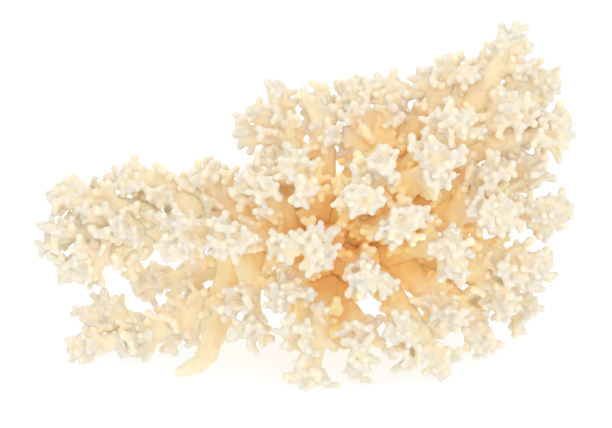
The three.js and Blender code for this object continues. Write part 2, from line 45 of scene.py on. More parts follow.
# one dictionary for each piece, in mm: radius along the stem, the stem's points, the tips of its shoots;
# a piece may also give its own value of a setting of the skin below
colony = {
    "stump": dict(
        girth=[10.5, 8, 9.5, 10, 7],
        stem=[[3, 12, -23], [5, 26, -20], [8, 39, -16], [12, 51, -11], [14, 60, -8]],
        shoots=[],
        knobs=22,
        lump=0.6,
    ),
    # left arm
    "left_limb": dict(
        girth=[7.5, 6],
        twigFrom=0.3,
        stem=[[8, 47, -13], [-12, 53, -5], [-34, 55, 2], [-54, 53, 8]],
        shoots=[
            [-74, 60, 18], [-67, 60, 20], [-63, 57, 22], [-70, 52, 22], [-61, 53, 24],
            [-57, 51, 22],
        ],
    ),
    "left_upper_branch": dict(
        girth=[4.2, 3.2],
        twigFrom=0.3,
        stem=[[-48, 54, 6], [-60, 60, 7], [-71, 64, 6]],
        shoots=[[-85, 66, 8], [-84, 62, 12], [-80, 68, 4], [-74, 67, 2], [-83, 60, 4]],
    ),
    "left_tip_branch": dict(
        girth=[5, 3.6],
        crownSpread=0.7,
        twigFrom=0.3,
        stem=[[-52, 53, 8], [-64, 53, 9], [-75, 52, 10]],
        shoots=[[-88, 55, 12], [-86, 51, 8], [-88, 47, 12], [-79, 56, 14], [-85, 54, 16]],
    ),
    "left_lower_branch": dict(
        girth=[4.8, 3.5],
        crownSpread=0.6,
        twigFrom=0.3,
        stem=[[-50, 52, 7], [-62, 47, 8], [-73, 43, 9]],
        shoots=[[-77, 44, 18], [-81, 37, 8], [-77, 37, 11], [-71, 36, 2], [-85, 44, 10], [-76, 49, 19]],
    ),
    "left_top_branch": dict(
        girth=[4.8, 3.6],
        crownSpread=0.45,
        twigFrom=0.3,
        stem=[[-34, 55, 2], [-41, 64, 1], [-48, 69, 2], [-57, 70, 5]],
        shoots=[
            [-67, 71, 6], [-62, 70, 10], [-58, 67, 14], [-53, 66, 14], [-60, 72, 2], [-50, 63, 12],
            [-46, 63, 9],
        ],
    ),
    "left_front_branch": dict(
        girth=[4.2, 3],
        stem=[[-27, 54, 0], [-33, 53, 13], [-39, 52, 24]],
        shoots=[
            [-47, 57, 31], [-43, 60, 30], [-42, 56, 36], [-37, 57, 31], [-46, 51, 32],
            [-48, 46, 30], [-44, 44, 33], [-40, 48, 37], [-38, 45, 32], [-34, 47, 30],
        ],
    ),
    "left_shoulder_branch": dict(
        girth=[4.2, 3.2],
        stem=[[-22, 54, -1], [-27, 61, 3], [-31, 67, 6]],
        shoots=[[-37, 72, 8], [-31, 73, 6], [-26, 73, 8], [-36, 69, 13], [-33, 62, 15]],
    ),
    "left_hanging_branch": dict(
        girth=[4, 3.2],
        crownSpread=0.6,
        stem=[[-18, 53.5, -2.5], [-19, 44, 8], [-18, 34, 18], [-18, 26, 22]],
        shoots=[
            [-25, 33, 26], [-26, 27, 28], [-28, 26, 23], [-24, 19, 28], [-25, 17, 24],
            [-18, 14, 24], [-19, 20, 30], [-14, 17, 26], [-15, 21, 30], [-19, 28, 31],
        ],
    ),
    "left_inner_branch": dict(
        girth=[4.2, 3.2],
        stem=[[-10, 52.5, -5.5], [-15, 51, 10], [-22, 50, 24]],
        shoots=[
            [-31, 56, 31], [-28, 57, 30], [-26, 54, 35], [-31, 49, 34], [-30, 46, 32],
            [-24, 46, 36], [-20, 48, 38], [-19, 52, 37],
        ],
    ),
    "left_high_front_branch": dict(
        girth=[4.4, 3.4],
        stem=[[-5, 51, -7.5], [-9, 60, 8], [-15, 67, 20]],
        shoots=[
            [-22, 71, 27], [-18, 74, 22], [-14, 70, 32], [-15, 63, 34], [-10, 66, 34],
            [-24, 66, 25], [-14, 59, 32],
        ],
    ),
    # low left arm and its leg, behind
    "low_left_limb": dict(
        girth=[4.6, 3.6],
        twigFrom=0.3,
        twigSpacing=1.9,
        crownSpread=0.5,
        stem=[[-24, 54.3, -1], [-24, 42, -7], [-28, 31, -6], [-39, 23.5, -2], [-56, 18, 3], [-69, 15, 6]],
        shoots=[
            [-79, 16, 6], [-78, 12, 6], [-73, 11, 8], [-74, 19, 4], [-72, 15, 13], [-62, 13, 8],
            [-53, 18, 12], [-54, 14, 6], [-45, 13, 3], [-44, 16, 2], [-39, 17, -1],
        ],
    ),
    "low_left_fork": dict(
        girth=[3.4, 2.8],
        crownSpread=0.3,
        stem=[[-52, 20, 1.5], [-60, 22, 0], [-66, 25, -1]],
        shoots=[[-77, 26, 0], [-74, 23, 3], [-70, 31, -4], [-66, 30, 1]],
    ),
    "low_left_leg": dict(
        girth=[3.6, 2.9],
        stem=[
            [-29, 30, -5.5], [-30.3, 21.5, 2.5], [-31.3, 16.3, 8], [-33.7, 11, 14], [-37.7, 7.9, 18.5],
            [-41.3, 6.6, 21],
        ],
        shoots=[],
    ),
    "back_low_left_branch": dict(
        girth=[4.2, 3.2],
        stem=[[-20, 54, -2], [-26, 45, -11], [-38, 38, -16], [-48, 36, -18]],
        shoots=[
            [-60, 38, -18], [-56, 40, -15], [-58, 33, -20], [-53, 30, -20], [-50, 38, -11],
            [-39, 34, -10],
        ],
    ),
    # top
    "tall_left_branch": dict(
        girth=[4.6, 3.2],
        stem=[[10, 57, -9], [2, 68, 0], [-5, 80, 3], [-9, 91, 4]],
        shoots=[
            [-12, 101, 4], [-9, 99, 9], [-6, 100, 2], [-5, 97, -3], [-17, 93, 8], [-22, 91, 6],
            [-23, 87, 2], [-22, 83, 4], [-15, 86, 13], [-10, 91, 11],
        ],
    ),
    "upper_front_branch": dict(
        girth=[4.4, 3.2],
        stem=[[8, 55, -10], [4, 63, 8], [-2, 71, 24]],
        shoots=[
            [-6, 81, 27], [-1, 79, 30], [-6, 76, 34], [0, 76, 35], [-5, 72, 38], [-2, 67, 41],
            [2, 66, 40], [-1, 62, 40],
        ],
    ),
    "upper_left_inner_branch": dict(
        girth=[4.2, 3.2],
        stem=[[7, 55, -11], [0, 63, -2], [-7, 71, 6]],
        shoots=[[-13, 78, 9], [-9, 80, 6], [-5, 78, 12], [-11, 73, 14]],
    ),
    "top_left_branch": dict(
        girth=[4.6, 3.4],
        stem=[[11, 58, -8.5], [5.5, 69, 0], [6, 82, 5], [5, 91, 6]],
        shoots=[[4, 99, 6], [8, 97, 4], [10, 94, 8], [1, 94, 6], [1, 88, 8], [9, 87, 15], [8, 83, 17]],
    ),
    "top_middle_branch": dict(
        girth=[4.6, 3.4],
        stem=[[13, 59, -8], [17, 73, 1], [18, 85, 6], [17, 93, 6]],
        shoots=[
            [13, 102, 4], [17, 103, 1], [13, 99, 9], [17, 93, 17], [13, 91, 15], [20, 95, 13],
            [12, 85, 8], [12, 80, 6],
        ],
    ),
    "top_inner_branch": dict(
        girth=[4.4, 3.2],
        stem=[[14, 59, -8.5], [21, 73, -1], [25, 86, 3], [27, 95, 3]],
        shoots=[
            [23, 104, 4], [21, 101, 9], [26, 103, 1], [28, 95, 13], [34, 99, 8], [39, 99, 3],
            [31, 90, 13], [30, 100, 1], [33, 95, 4],
        ],
    ),
    "top_right_branch": dict(
        girth=[4.8, 3.4],
        stem=[[13, 58, -9], [27, 77, -6], [39, 93, -1], [45, 102, 0]],
        shoots=[
            [45, 110, 2], [49, 110, -2], [40, 107, 6], [37, 105, 8], [50, 107, 0], [42, 104, 9],
            [52, 104, 8], [56, 104, 10], [57, 107, 5],
        ],
    ),
    "spire_limb": dict(
        girth=[6.5, 4],
        stem=[[13, 55, -10], [30, 66, -7], [46, 82, -5], [58, 98, -2], [66, 111, 0]],
        shoots=[
            [69, 120, 2], [66, 120, -2], [64, 117, 6], [62, 115, 2], [73, 117, 0], [75, 114, 2],
            [72, 107, 8], [75, 108, 3], [59, 112, -6], [58, 108, -8],
        ],
    ),
    # right side
    "right_crown_branch": dict(
        girth=[4.4, 3.4],
        stem=[[46, 82, -5], [56, 87, 3], [65, 91, 9]],
        shoots=[[68, 99, 14], [71, 97, 11], [66, 94, 17], [73, 95, 7], [77, 95, 4], [71, 86, 19]],
    ),
    "right_back_crown_branch": dict(
        girth=[4, 3.2],
        stem=[[52, 90, -3.5], [63, 97, -7], [74, 101, -8]],
        shoots=[[80, 105, -8], [83, 102, -6], [82, 100, -11], [80, 95, -12], [77, 104, -4]],
    ),
    "right_high_branch": dict(
        girth=[4.8, 3.6],
        stem=[[36, 72, -6], [53, 79, -1], [67, 84, 3], [77, 86, 4]],
        shoots=[
            [83, 91, 4], [87, 91, 2], [87, 87, 7], [87, 83, 4], [84, 79, 0], [79, 90, 11],
            [80, 82, 10], [73, 91, 5],
        ],
    ),
    "upper_right_front_branch": dict(
        girth=[4.4, 3.4],
        stem=[[32, 68, -6.5], [39, 77, 11], [46, 85, 27]],
        shoots=[
            [44, 92, 30], [48, 95, 28], [46, 89, 36], [51, 91, 34], [55, 92, 30], [52, 88, 36],
            [57, 86, 27],
        ],
    ),
    "right_front_branch": dict(
        girth=[5, 3.6],
        stem=[[17, 57, -9.5], [31, 66, 14], [42, 74, 33]],
        shoots=[
            [39, 85, 36], [35, 82, 37], [38, 78, 40], [42, 80, 41], [50, 79, 39], [52, 80, 35],
            [48, 75, 43], [44, 72, 46], [40, 71, 43], [43, 68, 43], [47, 70, 41],
        ],
    ),
    "right_limb": dict(
        girth=[7, 4.4],
        stem=[[13, 52, -11], [32, 57, -7], [50, 60, -2], [70, 60, 4]],
        shoots=[
            [75, 63, 12], [77, 57, 12], [82, 63, 6], [86, 64, 3], [88, 60, 6], [87, 57, 3],
            [84, 55, 7], [81, 51, 2], [78, 52, 6], [82, 59, 10],
        ],
    ),
    "right_upper_branch": dict(
        girth=[4.4, 3.4],
        stem=[[38, 58.5, -5.5], [50, 66, 5], [59, 71, 14]],
        shoots=[[62, 77, 18], [67, 75, 15], [60, 73, 22], [64, 71, 22], [61, 67, 24], [54, 74, 12]],
    ),
    "right_back_branch": dict(
        girth=[4.2, 3.4],
        stem=[[46, 59.5, -3.5], [59, 67, -3], [70, 72, -1]],
        shoots=[[79, 75, 2], [81, 71, 4], [77, 72, 9], [76, 68, 4], [73, 79, 3], [68, 78, 2]],
    ),
    "right_middle_front_branch": dict(
        girth=[4.8, 3.6],
        stem=[[34, 57.5, -6.5], [47, 59, 9], [58, 60, 22]],
        shoots=[
            [57, 65, 28], [55, 61, 30], [60, 62, 32], [59, 56, 30], [62, 53, 26], [66, 61, 28],
            [68, 57, 28], [66, 54, 26], [71, 55, 21], [71, 61, 21],
        ],
    ),
    "low_right_limb": dict(
        girth=[6.5, 4.4],
        stem=[[12, 48, -13], [30, 46, -9], [46, 45, -3], [58, 44, 3], [67, 43, 7]],
        shoots=[
            [72, 46, 9], [77, 45, 9], [82, 44, 4], [80, 40, 8], [76, 40, 14], [78, 33, 8],
            [66, 42, 18], [66, 38, 18], [70, 36, 14], [75, 35, 9], [82, 37, 5],
        ],
    ),
    "low_right_front_branch": dict(
        girth=[4.6, 3.4],
        stem=[[24, 46.7, -10.5], [34, 48, 10], [45, 48, 27]],
        shoots=[
            [47, 53, 34], [50, 51, 32], [44, 49, 36], [43, 45, 35], [49, 47, 36], [54, 46, 30],
            [48, 41, 34], [46, 38, 31], [52, 39, 32], [51, 36, 31],
        ],
    ),
    "right_hanging_branch": dict(
        girth=[4, 3.2],
        crownSpread=0.55,
        stem=[[48, 45, -2], [58, 38, 4], [64, 32, 8]],
        shoots=[[66, 29, 14], [67, 26, 12], [65, 24, 6], [62, 28, 10]],
    ),
    "right_hanging_back_branch": dict(
        girth=[4, 3.2],
        crownSpread=0.6,
        stem=[[40, 45.4, -5.5], [58, 41, -9], [69, 30, -7]],
        shoots=[[77, 27, -5], [74, 24, -2], [71, 19, -2], [70, 21, -7], [75, 31, -8]],
    ),
    "right_leg": dict(
        girth=[5, 3.2],
        twigFrom=0.62,
        crownSpread=0.5,
        stem=[[11, 44, -14], [28, 43, -9], [42, 37, -3], [52, 28, 2], [57, 20, 4]],
        shoots=[
            [58, 15, 4], [59, 12, 4], [63, 14, 2], [54, 19, 9], [55, 17, 8], [60, 26, -4],
            [58, 31, -4],
        ],
    ),
    "low_right_middle_branch": dict(
        girth=[4.2, 3.4],
        crownSpread=0.6,
        stem=[[28, 43, -9], [37, 36, 6], [44, 27, 18]],
        shoots=[
            [42, 26, 24], [41, 23, 22], [47, 27, 27], [51, 25, 26], [49, 22, 26], [53, 23, 21],
            [47, 20, 23],
        ],
    ),
    "front_right_leg": dict(
        girth=[4.6, 3.2],
        twigFrom=0.62,
        crownSpread=0.5,
        stem=[[10, 43, -14], [22, 38, -1], [33, 26, 15], [42, 13, 26]],
        shoots=[
            [50, 11, 28], [46, 5, 29], [42, 7, 30], [30, 24, 38], [33, 23, 35], [27, 20, 38],
            [30, 18, 40], [28, 13, 36], [33, 17, 38], [37, 13, 34], [31, 8, 32], [35, 9, 33],
        ],
    ),
    # front
    "front_middle_leg": dict(
        girth=[4.8, 3.4],
        twigFrom=0.62,
        crownSpread=0.5,
        stem=[[6, 34, -17], [11, 28, 1], [17, 21, 19], [18, 12, 33]],
        shoots=[
            [24, 23, 25], [12, 20, 36], [14, 17, 39], [18, 22, 39], [17, 15, 42], [20, 17, 40],
            [22, 11, 36], [14, 9, 38], [15, 6, 35], [19, 9, 38], [19, 4, 32],
        ],
    ),
    "front_leg": dict(
        girth=[5, 4.2],
        twigFrom=0.62,
        crownSpread=0.6,
        stem=[[6, 34, -17], [5, 29, 5], [3, 22, 23], [2, 9, 35]],
        shoots=[
            [5, 28, 35], [-5, 24, 42], [-1, 21, 44], [-8, 20, 40], [-7, 16, 38], [0, 15, 43],
            [-2, 10, 42], [-5, 5, 39], [-2, 2, 37], [6, 4, 37], [8, 1, 34],
        ],
    ),
    "front_low_left_branch": dict(
        girth=[4.4, 3.2],
        stem=[[7, 44, -14], [0, 41, 4], [-5, 35, 24]],
        shoots=[[-11, 33, 34], [-8, 29, 38], [-4, 32, 39], [-11, 28, 33], [2, 32, 37], [-8, 36, 31]],
    ),
    "middle_high_front_branch": dict(
        girth=[4.2, 3.2],
        stem=[[12, 58, -9], [18, 66, 14], [24, 72, 34]],
        shoots=[[25, 80, 40], [29, 78, 38], [22, 78, 41], [24, 74, 46], [28, 71, 43]],
    ),
    "middle_front_branch": dict(
        girth=[4.2, 3.2],
        stem=[[11, 55, -10], [14, 60, 14], [17, 64, 36]],
        shoots=[
            [16, 73, 41], [20, 70, 42], [14, 67, 44], [17, 65, 48], [15, 61, 46], [17, 59, 43],
            [24, 65, 44], [23, 61, 43],
        ],
    ),
    "middle_right_front_branch": dict(
        girth=[4.4, 3.4],
        stem=[[13, 53, -11], [22, 54, 12], [31, 56, 34]],
        shoots=[
            [38, 60, 41], [36, 57, 46], [33, 60, 43], [40, 58, 38], [28, 53, 45], [24, 52, 43],
            [30, 49, 43], [32, 53, 43],
        ],
    ),
    "middle_left_front_branch": dict(
        girth=[4.6, 3.4],
        stem=[[10, 50, -12], [5, 50, 12], [1, 48, 33]],
        shoots=[
            [5, 54, 43], [1, 53, 42], [9, 53, 39], [4, 49, 48], [9, 47, 41], [3, 44, 46],
            [8, 43, 40], [2, 40, 42], [-3, 51, 42], [-10, 51, 38], [-7, 49, 41], [-12, 47, 35],
            [-9, 45, 40],
        ],
    ),
    "middle_low_front_branch": dict(
        girth=[4.2, 3.2],
        stem=[[10, 46, -13], [16, 42, 10], [20, 39, 32]],
        shoots=[
            [20, 43, 38], [23, 40, 42], [17, 38, 42], [15, 35, 39], [19, 34, 43], [27, 38, 38],
            [29, 36, 35], [26, 33, 37],
        ],
    ),
    # back
    "back_left_branch": dict(
        girth=[4.8, 3.6],
        stem=[[6, 52, -12], [-10, 56, -20], [-22, 62, -28]],
        shoots=[[-38, 66, -28], [-33, 58, -38], [-26, 70, -38], [-20, 60, -46], [-30, 66, -34]],
    ),
    "back_top_left_branch": dict(
        girth=[4.6, 3.4],
        stem=[[9, 57, -10], [0, 67, -18], [-6, 76, -25]],
        shoots=[[-12, 90, -22], [-5, 92, -30], [-10, 82, -37], [-2, 70, -40], [6, 85, -34]],
    ),
    "back_top_branch": dict(
        girth=[4.8, 3.6],
        stem=[[14, 59, -10], [18, 70, -18], [22, 82, -25]],
        shoots=[[16, 97, -24], [26, 97, -28], [18, 86, -41], [29, 85, -38], [22, 74, -46]],
    ),
    "back_top_right_branch": dict(
        girth=[4.8, 3.6],
        stem=[[18, 59, -10], [32, 70, -18], [44, 80, -25]],
        shoots=[
            [46, 96, -22], [55, 92, -28], [42, 85, -41], [55, 81, -38], [46, 70, -44],
            [31, 78, -33], [54, 73, -35],
        ],
    ),
    "back_right_branch": dict(
        girth=[4.8, 3.6],
        stem=[[18, 54, -12], [38, 60, -20], [54, 64, -27]],
        shoots=[
            [72, 75, -24], [70, 65, -33], [58, 68, -43], [66, 56, -38], [46, 58, -44],
            [38, 67, -36], [39, 53, -38],
        ],
    ),
    "back_low_right_branch": dict(
        girth=[4.6, 3.4],
        stem=[[16, 46, -14], [36, 46, -22], [50, 46, -29]],
        shoots=[
            [68, 51, -26], [64, 45, -34], [54, 50, -42], [49, 40, -38], [40, 44, -46],
            [38, 37, -32],
        ],
    ),
    "back_middle_branch": dict(
        girth=[4.6, 3.4],
        stem=[[12, 53, -14], [14, 56, -26], [14, 58, -38]],
        shoots=[[4, 60, -50], [14, 63, -53], [24, 60, -51], [10, 53, -53], [20, 52, -52]],
    ),
    "back_low_branch": dict(
        girth=[4.4, 3.2],
        stem=[[10, 44, -16], [18, 42, -28], [24, 41, -37]],
        shoots=[[20, 46, -50], [34, 42, -46], [30, 35, -44], [17, 37, -46]],
    ),
    "back_inner_left_branch": dict(
        girth=[4.6, 3.4],
        stem=[[7, 48, -15], [-3, 47, -26], [-10, 47, -36]],
        shoots=[[-19, 52, -46], [-8, 54, -50], [-5, 43, -48], [-15, 40, -43], [-25, 44, -36]],
    ),
}

skin = dict(  # lengths in mm
    voxel=0.5,
    smoothing=1,
    keep=0.45,  # share of the faces kept by the thinning
    stemScale=1.16,
    endTaper=0.35,  # how much thinner a stem is at its end
    rootFlare=0.4,  # how much wider it is where it leaves its parent's skin
    flareLength=8.0,
    rootInside=0.85,  # its first radius, as a share of its root's depth in the parent
    rootSpread=0.6,  # how fast it may widen from there
    forkAngle=50.0,  # degrees between a stem and a shoot
    shootBend=0.35,  # share of its reach over which a shoot still follows the stem
    shootRoot=2.2,  # radius
    shootTip=1.6,
    roundEnd=1.0,  # how much of a shoot's reach its round end takes
    crownLength=13.0,  # the end of a stem that carries a crown of fingers
    crownFingers=14,  # with the shoots of the table
    crownLeast=4,  # and never fewer of its own than this
    crownTilt=(12.0, 60.0),  # degrees from the stem, at its end and at the crown's foot
    crownReach=(6.5, 4.2),  # past the stem's skin, at its end and at the crown's foot
    crownSpread=1.0,  # share of that reach which the piece uses
    turnBack=-0.15,  # how far a finger may turn back to the hub, as a cosine
    twigFrom=0.42,  # share of the stem that stays bare
    twigSpacing=3.4,
    twigTilt=(55.0, 80.0),
    twigReach=3.2,
    knobs=0,  # low scars on a stem without shoots
    knobPlace=(0.04, 0.8),  # shares of the stem
    knobTilt=78.0,
    knobReach=0.2,
    lump=0.25,
    lumpWave=6.0,
    wart=0.3,
    wartWave=2.8,
    wartFrom=2.0,  # how far from a finger's end the warts begin, and over what length they grow
    wartFade=3.0,
    grain=0.07,
    grainWave=1.3,
)
grid = dict(  # how finely the tubes are made
    curveSteps=240,
    stemSteps=48,
    stemSides=20,
    shootSteps=14,
    shootSides=12,
    nubSteps=5,
    nubSides=10,
)
goldenAngle = 2.39996  # radians
fullTurn = 6.28


def stand(points):
    # a point of the drawing turned by the lean about the across axis, with the floor at zero
    across, up, out = np.asarray(points, float).reshape(-1, 3).T
    sine, cosine = math.sin(drawing["lean"]), math.cos(drawing["lean"])
    x = across - drawing["stumpAcross"]
    y = up * sine - out * cosine - drawing["stumpBehind"]
    z = up * cosine + out * sine - drawing["footOut"] * sine
    return np.stack([x, y, z], 1)


def hashed(first, second):
    # repeatable number between 0 and 1: the fraction of a large multiple of a sine
    angle = np.asarray(first, float) * 12.9898 + np.asarray(second, float) * 78.233
    large = np.sin(angle) * 43758.5453
    return large - np.floor(large)


def unit(vectors):
    # each vector divided by its length
    return vectors / np.maximum(np.linalg.norm(vectors, axis=-1, keepdims=True), 1e-9)


def smoothPath(points, count):
    # a cubic through the points, its slope at each half the step between its neighbours, evened by length
    padded = np.vstack([2 * points[0] - points[1], points, 2 * points[-1] - points[-2]])
    place = np.linspace(0, len(points) - 1, grid["curveSteps"])
    span = np.minimum(place.astype(int), len(points) - 2)
    t = (place - span)[:, None]
    before, start, end, after = padded[span], padded[span + 1], padded[span + 2], padded[span + 3]
    square = 2 * before - 5 * start + 4 * end - after
    cube = 3 * start - before - 3 * end + after
    curve = 0.5 * (2 * start + (end - before) * t + square * t**2 + cube * t**3)
    way = np.r_[0, np.cumsum(np.linalg.norm(np.diff(curve, axis=0), axis=1))]
    even = np.linspace(0, way[-1], count)
    return np.stack([np.interp(even, way, curve[:, axis]) for axis in range(3)], 1), way[-1]


def sideAxis(along):
    # one of two fixed axes, whichever lies well off the way along
    return np.where(np.abs(along[:, :1]) < 0.7, [[1.0, 0, 0]], [[0, 0, 1.0]])


def tubes(centres, radii, sides):
    # each ring is its centre plus radius times (cos of the turn along the normal, sin along the binormal);
    # four more rings follow a quarter circle past the end and close it round
    ahead = unit(np.gradient(centres, axis=1))
    turnCap = np.radians([25, 50, 70, 84])
    end, last, tip = centres[:, -1:], radii[:, -1:], ahead[:, -1:]
    centres = np.concatenate([centres, end + tip * (last * np.sin(turnCap))[..., None]], 1)
    radii = np.concatenate([radii, last * np.cos(turnCap)], 1)
    ahead = np.concatenate([ahead, np.repeat(tip, len(turnCap), 1)], 1)
    normal = unit(np.cross(ahead, sideAxis(unit(centres[:, -1] - centres[:, 0]))[:, None]))
    binormal = np.cross(ahead, normal)
    turn = np.linspace(0, 2 * np.pi, sides, endpoint=False)[None, None, :, None]
    spoke = np.cos(turn) * normal[:, :, None] + np.sin(turn) * binormal[:, :, None]
    rings = centres[:, :, None] + radii[:, :, None, None] * spoke
    count, steps = radii.shape
    index = np.arange(count * steps * sides).reshape(count, steps, sides)
    near, far = index[:, :-1], index[:, 1:]
    quads = np.stack([near, np.roll(near, -1, 2), np.roll(far, -1, 2), far], -1).reshape(-1, 4)
    poles = count * steps * sides + np.arange(2 * count).reshape(2, count, 1)
    first, final = index[:, 0], index[:, -1]
    closed = [
        np.stack([np.roll(first, -1, 1), first, np.broadcast_to(poles[0], first.shape)], -1),
        np.stack([final, np.roll(final, -1, 1), np.broadcast_to(poles[1], final.shape)], -1),
    ]
    verts = np.vstack([rings.reshape(-1, 3), centres[:, 0], centres[:, -1]])
    return verts, quads, np.vstack([faces.reshape(-1, 3) for faces in closed])


def stemTube(piece):
    # radius read along the stem, thinner at the end by a cube
    path, length = smoothPath(stand(piece["stem"]), grid["stemSteps"])
    share = np.linspace(0, 1, len(path))
    radius = np.interp(share, np.linspace(0, 1, len(piece["girth"])), piece["girth"])
    return path, length, skin["stemScale"] * radius * (1 - skin["endTaper"] * share**3)


def flareRoots(stems):
    # a bell curve widens each stem where it leaves its parent's skin, and its root stays inside the parent
    for name, (path, length, radius) in stems.items():
        others = [stem for other, stem in stems.items() if other != name]
        line = np.vstack([stem[0] for stem in others])
        girth = np.concatenate([stem[2] for stem in others])
        inside = (girth - np.linalg.norm(line - path[0], axis=1)).max()
        if inside <= 0:
            continue
        way = np.linspace(0, length, len(path))
        bell = np.exp(-(((way - inside) / skin["flareLength"]) ** 2))
        wide = radius * (1 + skin["rootFlare"] * bell)
        radius[:] = np.minimum(wide, skin["rootInside"] * inside + skin["rootSpread"] * way)


def shootPaths(path, length, tips):
    # a shoot starts where its own length plus the weighed way along the stem is least, and bends off
    # along a parabola from its root over an elbow on the stem's line to its tip
    away = np.linalg.norm(tips[:, None] - path[None], axis=2)
    way = np.linspace(0, length, len(path)) * math.cos(math.radians(skin["forkAngle"]))
    start = np.argmin(away + way, 1)
    root = path[start]
    reach = np.linalg.norm(tips - root, axis=1, keepdims=True)
    tips = root + (tips - root) * (1 - skin["roundEnd"] / reach)
    elbow = root + unit(np.gradient(path, axis=0))[start] * reach * skin["shootBend"]
    t = np.linspace(0, 1, grid["shootSteps"])[None, :, None]
    return (1 - t) ** 2 * root[:, None] + 2 * t * (1 - t) * elbow[:, None] + t**2 * tips[:, None]


def sidePaths(path, radius, at, tilt, reach, seed):
    # straight fingers round a stem: golden-angle turns, tilted from the stem, reaching past its skin
    scatter = dict(turn=0.8, tilt=14, reach=(0.7, 0.6))
    number = np.arange(len(at))
    spot = np.clip(np.round(at * (len(path) - 1)), 1, len(path) - 1).astype(int)
    ahead = unit(np.gradient(path, axis=0))[spot]
    normal = unit(np.cross(ahead, [0.31, 0.17, 0.94]))
    binormal = np.cross(ahead, normal)
    turn = goldenAngle * number + fullTurn * hashed(seed, 7) + scatter["turn"] * hashed(number, seed + 2)
    tilt = np.radians(tilt + scatter["tilt"] * (hashed(number, seed + 4) - 0.5))[:, None]
    out = np.cos(turn)[:, None] * normal + np.sin(turn)[:, None] * binormal
    way = np.cos(tilt) * ahead + np.sin(tilt) * out
    toEnd = np.linalg.norm(path[spot] - path[-1], axis=1) + radius[-1]
    inside = np.minimum(radius[spot] / np.sin(tilt[:, 0]), toEnd)
    least, more = scatter["reach"]
    length = inside + reach * (least + more * hashed(number, seed + 6))
    share = np.linspace(0, 1, grid["shootSteps"])
    return path[spot][:, None] + way[:, None] * (length[:, None] * share)[..., None]


def crownPaths(path, length, radius, count, spread, hub, seed):
    # a hand of fingers over the end of the stem, steeper towards the crown's foot; those that turn back to
    # the hub, as the drawing shows it, are left out, so the wrist stays bare on that side
    share = np.linspace(0, 1, count)
    tilt = np.interp(share, [0, 1], skin["crownTilt"])
    reach = spread * np.interp(share, [0, 1], skin["crownReach"])
    paths = sidePaths(path, radius, 1 - share * skin["crownLength"] / length, tilt, reach, seed)
    sight = np.array([0, -math.cos(drawing["lean"]), math.sin(drawing["lean"])])
    out = path[-1] - hub
    out = unit(out - (out @ sight) * sight)
    return paths[unit(paths[:, -1] - paths[:, 0]) @ out > skin["turnBack"]]


def twigPaths(path, length, radius, begin, spacing, seed):
    # sparser side twigs, evenly from the bare part up to the crown
    end = 1 - skin["crownLength"] / length
    count = max(0, int(length * (end - begin) / spacing))
    tilt = np.interp(hashed(np.arange(count), seed + 8), [0, 1], skin["twigTilt"])
    return sidePaths(path, radius, np.linspace(begin, end, count), tilt, skin["twigReach"], seed)


def nubTubes(paths, seed):
    # short blunt tubes round each shoot: golden-angle turns, tilted from the axis ring by ring
    rings = [  # back from the shoot's tip, tilt from its axis, reach and radius
        dict(count=2, back=1.0, tilt=42, reach=3.0, radius=1.2),
        dict(count=2, back=4.4, tilt=55, reach=3.6, radius=1.25),
    ]
    scatter = dict(turn=1.4, tilt=24, back=1.4, reach=0.5, radius=0.25)
    twist = 0.35  # radians from one nub to the next
    waist = ([0, 0.5, 1], [1.0, 0.95, 1.08])
    along = unit(paths[:, -1] - paths[:, -4])
    normal = unit(np.cross(along, sideAxis(along)))
    binormal = np.cross(along, normal)
    shoots = np.arange(len(paths))
    share = np.linspace(0, 1, grid["nubSteps"])
    centres, radii = [], []
    for ring in rings:
        for place in range(ring["count"]):
            number = len(centres)
            chance = {key: hashed(shoots + seed, number * 5 + i) - 0.5 for i, key in enumerate(scatter)}
            shift = {key: scatter[key] * chance[key] for key in scatter}
            turn = goldenAngle * shoots + 2 * np.pi * place / ring["count"] + number * twist + shift["turn"]
            tilt = np.radians(ring["tilt"] + shift["tilt"])
            out = np.cos(turn)[:, None] * normal + np.sin(turn)[:, None] * binormal
            way = np.cos(tilt)[:, None] * along + np.sin(tilt)[:, None] * out
            base = paths[:, -1] - along * (ring["back"] + shift["back"])[:, None]
            reach = ring["reach"] * (1 + shift["reach"])
            radius = ring["radius"] * (1 + shift["radius"])
            centres.append(base[:, None] + way[:, None] * (reach[:, None] * share)[..., None])
            radii.append(radius[:, None] * np.interp(share, *waist)[None])
    return np.concatenate(centres), np.concatenate(radii)


def pieceTubes(piece, stem, hub, number):
    # the stem, then its fingers and their nubs or, where it has no shoots, its scars; with the ends of all
    path, length, radius = stem
    parts = [tubes(path[None], radius[None], grid["stemSides"])]
    if piece["knobs"]:
        at = np.linspace(*piece["knobPlace"], piece["knobs"])
        knobs = sidePaths(path, radius, at, piece["knobTilt"], piece["knobReach"], number)
        parts.append(tubes(knobs, np.full(knobs.shape[:2], piece["shootRoot"]), grid["shootSides"]))
    if not piece["shoots"]:
        return parts, path[-1:]
    shoots = shootPaths(path, length, stand(piece["shoots"]))
    count = max(piece["crownLeast"], piece["crownFingers"] - len(shoots))
    crown = crownPaths(path, length, radius, count, piece["crownSpread"], hub, number * 13 + 5)
    twigs = twigPaths(path, length, radius, piece["twigFrom"], piece["twigSpacing"], number * 17)
    paths = np.concatenate([shoots, crown, twigs])
    share = np.linspace(0, 1, paths.shape[1])[None]
    thick = piece["shootRoot"] + (piece["shootTip"] - piece["shootRoot"]) * share
    parts.append(tubes(paths, np.repeat(thick, len(paths), 0), grid["shootSides"]))
    nubs = nubTubes(paths, number * 31)
    parts.append(tubes(*nubs, grid["nubSides"]))
    return parts, np.vstack([paths[:, -1], nubs[0][:, -1]])


